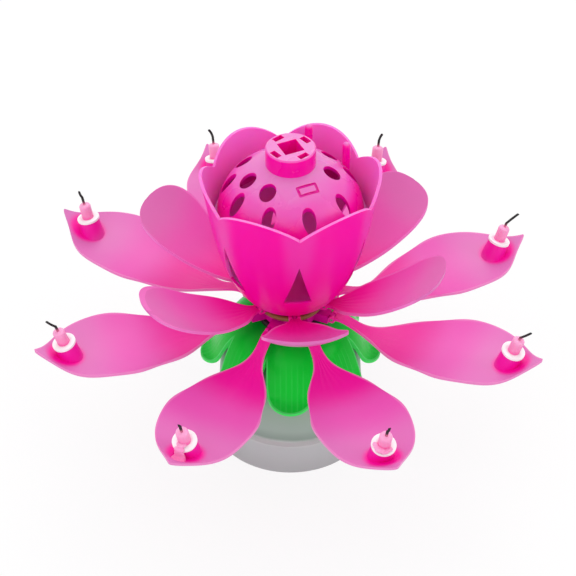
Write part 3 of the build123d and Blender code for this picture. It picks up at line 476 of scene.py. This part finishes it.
def cup_finish():
    """Cup plastic: saturated magenta, cooler inside, with a painted highlight along the rim's
    upward-facing top.
    """
    material, tree, shader = start_material("cup_plastic")
    coords = tree.nodes.new("ShaderNodeTexCoord")
    x, y, z = split(tree, coords.outputs["Object"])
    nx, ny, nz = split(tree, coords.outputs["Normal"])
    # Painted highlight: a pale line where the rim's top faces up
    up = span(tree, nz, *RIM_HIGHLIGHT_FACE)
    high = span(tree, z, *RIM_HIGHLIGHT_HEIGHT)
    rim_highlight = math_node(tree, "MULTIPLY", up, high)
    outward = math_node(tree, "ADD", math_node(tree, "MULTIPLY", x, nx),
                        math_node(tree, "MULTIPLY", y, ny))
    inside = span(tree, outward, *CUP_INSIDE)
    place = use_group(tree, RAY, Turn=radians(INNER_FIRST + 30), Sector=pi / 3)
    fold = span(tree, math_node(tree, "ABSOLUTE", place["Side"]), *CUP_FOLD)
    cloud = noise(tree, scale=30.0, detail=3.0)
    lift = span(tree, z, *CUP_FADE)
    patchy_fold = math_node(tree, "ADD", math_node(tree, "MULTIPLY", cloud, 0.35), fold)
    tone = math_node(tree, "MULTIPLY", math_node(tree, "MULTIPLY", patchy_fold, lift), 0.4)
    body = mix_colour(tree, tone, MAGENTA, PINK)
    body = mix_colour(tree, inside, body, MAGENTA_COOL)
    tree.links.new(mix_colour(tree, rim_highlight, body, RIM_PINK), shader.inputs["Base Color"])
    let_light_in(shader)
    moulded_skin(tree, shader, rough=0.34, spread=0.14, grain=1100.0, depth=0.1 * mm)
    gloss(shader, 0.1)
    return material


def dome_finish():
    """Dome plastic: painted sheen, paler where it faces up, deep on its sides, with painted shade
    in its holes and slot.
    """
    material, tree, shader = start_material("dome_plastic")
    coords = tree.nodes.new("ShaderNodeTexCoord")
    x, y, z = split(tree, coords.outputs["Object"])
    up = split(tree, coords.outputs["Normal"])[2]
    cloud = noise(tree, scale=60.0, detail=4.0)
    # Painted sheen: paler where the dome faces up, deeper magenta on its sides
    sheen_facing = math_node(tree, "ADD", up, either_way(tree, cloud, 0.1))
    body = ramp(tree, sheen_facing, ((0.0, MAGENTA), (0.45, MAGENTA), (0.7, PINK), (0.95, PINK_DOME_SHEEN)))
    # Painted shade: faces inside the dome's shell, in its holes and slot, turn darker magenta
    ring = sum_of_squares(tree, x, y)
    level = math_node(tree, "DIVIDE", math_node(tree, "SUBTRACT", z, DOME_CENTRE_Z), DOME_HEIGHT)
    shell = math_node(tree, "ADD", math_node(tree, "DIVIDE", ring, DOME_RADIUS ** 2),
                      math_node(tree, "MULTIPLY", level, level))
    deep = span(tree, shell, *DOME_HOLE_SHADE)
    tree.links.new(mix_colour(tree, deep, body, MAGENTA_HOLE_SHADE), shader.inputs["Base Color"])
    let_light_in(shader)
    moulded_skin(tree, shader, rough=0.28, spread=0.2, grain=1200.0, depth=0.12 * mm, strength=0.6)
    gloss(shader, 0.4)
    return material


def hub_finish():
    """Hub plastic: the same magenta, clouded with a darker magenta."""
    material, tree, shader = start_material("hub_plastic")
    cloud = noise(tree, scale=90.0, detail=4.0)
    tree.links.new(mix_colour(tree, cloud, MAGENTA, MAGENTA_DARK), shader.inputs["Base Color"])
    moulded_skin(tree, shader, rough=0.42, spread=0.15, grain=1200.0, depth=0.1 * mm)
    gloss(shader, 0.1)
    return material


def leaf_green(tree, place):
    """The leaves' green: darker round the neck with painted shade under the flower, brighter
    towards the tips.
    """
    cloud = noise(tree, scale=70.0, detail=4.0)
    patchy_out = math_node(tree, "ADD", place["Out"], either_way(tree, cloud, 4 * mm))
    # Painted shade: darker towards the neck, under the hub and petals
    shade = span(tree, patchy_out, *LEAF_NECK_SHADE)
    return mix_colour(tree, shade, LEAF_SHADED, LEAF)


def leaf_finish():
    """Leaf plastic: glossy green, faint ribs down each leaf and a pale line on its edge."""
    material, tree, shader = start_material("leaf_plastic")
    place = use_group(tree, RAY, Turn=radians(LEAF_FIRST), Sector=2 * pi / LEAF_COUNT)
    past_centre = math_node(tree, "SUBTRACT", place["Out"], LEAF_ROUND_CENTRE)
    beyond = math_node(tree, "MAXIMUM", past_centre, 0.0)
    reach = math_node(tree, "SQRT", sum_of_squares(tree, beyond, place["Side"]))
    outer = span(tree, place["Out"], *LEAF_START)
    edge = math_node(tree, "MULTIPLY", span(tree, reach, *LEAF_LINE), outer)
    ribs = math_node(tree, "SINE", math_node(tree, "MULTIPLY", place["Side"], 2 * pi / RIB_PITCH))
    sharp = math_node(tree, "POWER", math_node(tree, "MULTIPLY_ADD", ribs, 0.5, 0.5), RIB_SHARPNESS)
    middle = span(tree, math_node(tree, "ABSOLUTE", place["Side"]), *RIB_MIDDLE)
    lower = span(tree, place["Out"], *RIB_START)
    veins = math_node(tree, "MULTIPLY", math_node(tree, "MULTIPLY", sharp, middle), lower)
    faint_veins = math_node(tree, "MULTIPLY", veins, 0.16)
    body = mix_colour(tree, faint_veins, leaf_green(tree, place), LEAF_RIM)
    tree.links.new(mix_colour(tree, math_node(tree, "MULTIPLY", edge, 0.8), body, LEAF_RIM),
                   shader.inputs["Base Color"])
    moulded_skin(tree, shader, rough=0.24, spread=0.16, grain=1000.0, depth=0.12 * mm, relief=veins)
    gloss(shader, 0.13)
    return material


def frosted_finish():
    """Frosted housing: milky grey, tinted green under the leaves, banded over the ridge."""
    material, tree, shader = start_material("frosted_grey")
    z = split(tree, object_point(tree))[2]
    cloud = noise(tree, scale=45.0, detail=5.0)
    level = math_node(tree, "ADD", math_node(tree, "DIVIDE", z, BASE_SPAN),
                      either_way(tree, cloud, 0.025))
    body = ramp(tree, level, (
        (0.0, (0.44, 0.46, 0.46, 1)),
        (0.24, (0.49, 0.52, 0.52, 1)),
        (0.28, (0.54, 0.57, 0.56, 1)),
        (0.32, (0.27, 0.35, 0.30, 1)),
        (0.42, (0.34, 0.44, 0.38, 1)),
        (0.58, (0.32, 0.43, 0.35, 1)),
        (0.74, (0.20, 0.42, 0.25, 1)),
        (0.92, (0.08, 0.36, 0.13, 1)),
    ))
    tree.links.new(body, shader.inputs["Base Color"])
    moulded_skin(tree, shader, rough=0.45, spread=0.2, grain=2200.0, depth=0.08 * mm)
    shader.inputs["Subsurface Weight"].default_value = 0.2
    shader.inputs["Subsurface Radius"].default_value = (0.004, 0.004, 0.004)
    gloss(shader, 0.3)
    return material


def plain_plastic(name, deep, light, rough):
    """A plain moulded plastic with a slight cloud and grain."""
    material, tree, shader = start_material(name)
    cloud = noise(tree, scale=120.0, detail=4.0)
    tree.links.new(mix_colour(tree, cloud, deep, light), shader.inputs["Base Color"])
    moulded_skin(tree, shader, rough=rough, spread=0.2, grain=1800.0, depth=0.1 * mm)
    return material


def metal_finish(name, deep, light, rough):
    """Bare metal with a slight cloud and a very fine grain."""
    material, tree, shader = start_material(name)
    cloud = noise(tree, scale=240.0, detail=3.0)
    tree.links.new(mix_colour(tree, cloud, deep, light), shader.inputs["Base Color"])
    moulded_skin(tree, shader, rough=rough, spread=0.25, grain=3000.0, depth=0.05 * mm)
    shader.inputs["Metallic"].default_value = 1.0
    return material


def floor_finish():
    """A white floor that stays white to the eye and keeps a faint shadow."""
    material, tree, shader = start_material("floor_white")
    cloud = noise(tree, scale=6.0, detail=3.0)
    tree.links.new(mix_colour(tree, cloud, (0.88, 0.88, 0.88, 1), (0.90, 0.90, 0.90, 1)),
                   shader.inputs["Base Color"])
    shader.inputs["Roughness"].default_value = 0.9
    gloss(shader, 0.1)
    white = tree.nodes.new("ShaderNodeEmission")
    mix = tree.nodes.new("ShaderNodeMixShader")
    tree.links.new(math_node(tree, "MULTIPLY", seen_rays(tree), FLOOR_WHITENESS), mix.inputs["Fac"])
    tree.links.new(shader.outputs[0], mix.inputs[1])
    tree.links.new(white.outputs[0], mix.inputs[2])
    tree.links.new(mix.outputs[0], tree.nodes["Material Output"].inputs["Surface"])
    return material


def wax_finish(name, foot_z, top_z):
    """Pale pink wax, redder and clearer at its foot, with a soft cloudy skin."""
    material, tree, shader = start_material(name)
    z = split(tree, object_point(tree))[2]
    cloud = noise(tree, scale=420.0, detail=4.0)
    rise = math_node(tree, "DIVIDE", math_node(tree, "SUBTRACT", z, foot_z), top_z - foot_z)
    level = math_node(tree, "ADD", rise, either_way(tree, cloud, 0.15))
    body = ramp(tree, level, (
        (0.0, (0.93, 0.13, 0.42, 1)),
        (0.35, (0.94, 0.27, 0.54, 1)),
        (1.0, (0.94, 0.38, 0.64, 1)),
    ))
    tree.links.new(body, shader.inputs["Base Color"])
    shader.inputs["Roughness"].default_value = 0.38
    shader.inputs["Subsurface Weight"].default_value = 0.4
    shader.inputs["Subsurface Radius"].default_value = (0.002, 0.001, 0.0015)
    bump(tree, shader, cloud, distance=0.12 * mm, strength=0.6)
    gloss(shader, 0.3)
    return material


def card_finish():
    """White card disc with a faint pink wax stain round the candle's foot."""
    material, tree, shader = start_material("white_card")
    place = use_group(tree, RAY, Turn=radians(OUTER_FIRST), Sector=2 * pi / OUTER_COUNT)
    cloud = noise(tree, scale=700.0, detail=5.0)
    ring = math_node(tree, "ADD", seat_reach(tree, place),
                     either_way(tree, cloud, 0.6 * mm))
    stain = math_node(tree, "MULTIPLY", span(tree, ring, *WAX_STAIN), 0.45)
    fibre = mix_colour(tree, cloud, (0.86, 0.86, 0.85, 1), (0.95, 0.95, 0.95, 1))
    tree.links.new(mix_colour(tree, stain, fibre, (0.95, 0.45, 0.66, 1)),
                   shader.inputs["Base Color"])
    shader.inputs["Roughness"].default_value = 0.75
    bump(tree, shader, cloud, distance=0.05 * mm, strength=0.6)
    return material


def wick_finish(name, foot_z):
    """Cotton wick: waxed pink at its foot, charred black above, with a twisted thread."""
    material, tree, shader = start_material(name)
    point = object_point(tree)
    z = split(tree, point)[2]
    cloud = noise(tree, scale=1500.0, detail=3.0)
    rise = math_node(tree, "DIVIDE", math_node(tree, "SUBTRACT", z, foot_z), WICK_SCORCH)
    level = math_node(tree, "ADD", rise, either_way(tree, cloud, 0.15))
    body = ramp(tree, level, (
        (0.0, (0.70, 0.16, 0.30, 1)),
        (0.25, (0.16, 0.04, 0.07, 1)),
        (0.45, (0.012, 0.010, 0.012, 1)),
    ))
    tree.links.new(body, shader.inputs["Base Color"])
    shader.inputs["Roughness"].default_value = 0.8
    twist = tree.nodes.new("ShaderNodeTexWave")
    twist.bands_direction = "DIAGONAL"
    twist.inputs["Scale"].default_value = 700.0
    tree.links.new(point, twist.inputs["Vector"])
    bump(tree, shader, twist.outputs["Fac"], distance=0.1 * mm, strength=0.8)
    return material


def rubber_finish():
    """Natural rubber: warm brown with dusty paler patches."""
    material, tree, shader = start_material("brown_rubber")
    cloud = noise(tree, scale=300.0, detail=5.0)
    tree.links.new(mix_colour(tree, cloud, (0.12, 0.035, 0.008, 1), (0.33, 0.13, 0.035, 1)),
                   shader.inputs["Base Color"])
    shader.inputs["Roughness"].default_value = 0.55
    bump(tree, shader, cloud, distance=0.1 * mm, strength=0.6)
    return material


# Pieces: a CAD node's own shape, welded so that it shades smoothly
def deselect_all():
    for thing in bpy.context.selected_objects:
        thing.select_set(False)


def weld_copy(node, crease_angle, finish):
    """A smooth copy of a CAD node's mesh that stands for it, on the same body."""
    source = frame["nodes"][node]
    deselect_all()
    piece = bpy.data.objects.new("%s_skin" % node, source.data.copy())
    bpy.context.scene.collection.objects.link(piece)
    bpy.context.view_layer.objects.active = piece
    piece.select_set(True)
    bpy.ops.object.mode_set(mode="EDIT")
    bpy.ops.mesh.select_all(action="SELECT")
    bpy.ops.mesh.remove_doubles(threshold=WELD_GAP)
    bpy.ops.mesh.customdata_custom_splitnormals_clear()
    bpy.ops.object.mode_set(mode="OBJECT")
    bpy.ops.object.shade_smooth_by_angle(angle=radians(crease_angle))
    piece.data.materials.clear()
    piece.data.materials.append(finish)
    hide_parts(node)
    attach(piece, body_of(node))
    return piece


def wax_run(name, azimuth, arm, drops, finish):
    """Spilt wax on a petal: drops laid over each other in its upright plane and melted into one.
    A drop is its distance out, side and height, and its half sizes the same three ways."""
    turn = radians(azimuth)
    deselect_all()
    lumps = []
    for out, side, height, half_out, half_side, half_up in drops:
        x = out * cos(turn) - side * sin(turn)
        y = out * sin(turn) + side * cos(turn)
        bpy.ops.mesh.primitive_ico_sphere_add(
            subdivisions=LUMP_ROUNDNESS, radius=1.0, location=Vector((x, y, height)) * mm,
            rotation=(0, 0, turn))
        lump = bpy.context.object
        lump.scale = (half_out * mm, half_side * mm, half_up * mm)
        lumps.append(lump)
    for lump in lumps:
        lump.select_set(True)
    bpy.ops.object.join()
    piece = bpy.context.object
    piece.name = name
    bpy.ops.object.transform_apply(location=True, rotation=True, scale=True)
    melt = piece.modifiers.new("melt", "REMESH")
    melt.mode = "VOXEL"
    melt.voxel_size = MELT_GRAIN
    soften = piece.modifiers.new("soften", "SMOOTH")
    soften.factor = MELT_SOFTNESS
    soften.iterations = MELT_ROUNDS
    for modifier in ("melt", "soften"):
        bpy.ops.object.modifier_apply(modifier=modifier)
    bpy.ops.object.shade_smooth()
    piece.data.materials.clear()
    piece.data.materials.append(finish)
    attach(piece, arm)
    return piece


def body_of(node):
    bodies = frame["record"]["behaviour"]["bodies"]
    return next(body for body, members in bodies.items() if node in members)


def dress_node(node, finish):
    """Give a carried-over CAD node its finish."""
    mesh = frame["nodes"][node].data
    mesh.materials.clear()
    mesh.materials.append(finish)


make_camera()
make_light()
make_floor()

# Petal ramps: the deep stem end is partly painted shade and the pale outer end is partly painted
# sheen
outer_petal = petal_finish(
    "outer_petal_plastic", OUTER_FIRST, OUTER_COUNT, OUTER_ROOT, OUTER_TIP, OUTER_HALF_WIDTH,
    OUTER_WIDTH_SHARES,
    ((0.0, MAGENTA), (0.33, PETAL_FOOT), (0.54, PINK), (0.78, PINK_PALE_SHEEN), (1.0, PINK_GREY_SHEEN)),
    EDGE_PINK, seated=True,
)
inner_petal = petal_finish(
    "inner_petal_plastic", INNER_FIRST, INNER_COUNT, INNER_ROOT, INNER_TIP, INNER_HALF_WIDTH,
    INNER_WIDTH_SHARES,
    ((0.0, MAGENTA), (0.25, PETAL_FOOT), (0.6, PINK), (0.9, PINK_PALE_SHEEN)),
    RIM_PINK, seated=False,
)
spilt_wax = wax_finish("spilt_wax", *SPILT_WAX_SPAN)
card = card_finish()
black = plain_plastic(
    "black_plastic", deep=(0.008, 0.008, 0.008, 1), light=(0.025, 0.025, 0.025, 1), rough=0.45)
dark = plain_plastic(
    "dark_plastic", deep=(0.05, 0.05, 0.05, 1), light=(0.09, 0.09, 0.09, 1), rough=0.5)
white = plain_plastic(
    "white_nylon", deep=(0.66, 0.66, 0.60, 1), light=(0.80, 0.80, 0.76, 1), rough=0.4)
board = plain_plastic(
    "board_green", deep=(0.005, 0.07, 0.03, 1), light=(0.01, 0.13, 0.05, 1), rough=0.35)
steel = metal_finish(
    "plain_steel", deep=(0.38, 0.38, 0.39, 1), light=(0.60, 0.60, 0.61, 1), rough=0.3)
brass = metal_finish(
    "plain_brass", deep=(0.45, 0.30, 0.08, 1), light=(0.68, 0.48, 0.16, 1), rough=0.3)

for number in range(1, OUTER_COUNT + 1):
    weld_copy("outer_petal_%d" % number, PETAL_CREASE, outer_petal)
    weld_copy("drip_disc_%d" % number, DISC_CREASE, card)
    candle_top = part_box("candle_%d" % number)[1][2]
    weld_copy("candle_%d" % number, CANDLE_CREASE,
              wax_finish("candle_wax_%d" % number, candle_top - CANDLE_STAND, candle_top))
    weld_copy("wick_%d" % number, WICK_CREASE, wick_finish("wick_cotton_%d" % number, candle_top))
for number in range(1, INNER_COUNT + 1):
    weld_copy("inner_petal_%d" % number, PETAL_CREASE, inner_petal)
for node, crease_angle, finish in (
    ("flower_cup", 35, cup_finish()),
    ("seed_dome", 35, dome_finish()),
    ("calyx", 35, leaf_finish()),
    ("base_shell", 30, frosted_finish()),
    ("petal_hub", 35, hub_finish()),
    ("rubber_band", 60, rubber_finish()),
    ("bearing_collar", 35, black),
):
    weld_copy(node, crease_angle, finish)

wax_run("wax_run_2", OUTER_FIRST + 45, "outer_arm_2", (
    (97.7, 0.0, 74.7, 1.5, 2.0, 0.8),
    (99.5, 0.0, 73.7, 1.3, 2.2, 1.0),
    (99.9, 0.1, 72.0, 0.9, 2.1, 1.7),
    (99.9, 0.2, 70.6, 1.3, 2.4, 1.4),
    (101.0, 0.2, 70.2, 2.2, 2.9, 0.9),
), spilt_wax)
wax_run("wax_run_3", OUTER_FIRST + 90, "outer_arm_3", (
    (96.9, -2.4, 74.6, 2.0, 1.8, 0.7),
    (98.4, -0.9, 74.1, 1.3, 1.9, 0.6),
    (95.0, -3.1, 75.0, 1.7, 1.2, 0.5),
    (98.0, 1.0, 74.2, 1.2, 1.4, 0.5),
), spilt_wax)

for node in ("base_plate", "motor_bracket"):
    dress_node(node, dark)
for node in ("base_screws", "button_cells", "motor", "spindle", "outer_hinge_pins",
             "inner_hinge_pins"):
    dress_node(node, steel)
for node in ("battery_contacts", "sounder"):
    dress_node(node, brass)
for node in ("motor_pinion", "drive_gear"):
    dress_node(node, white)
dress_node("circuit_board", board)
dress_node("switch_slider", black)
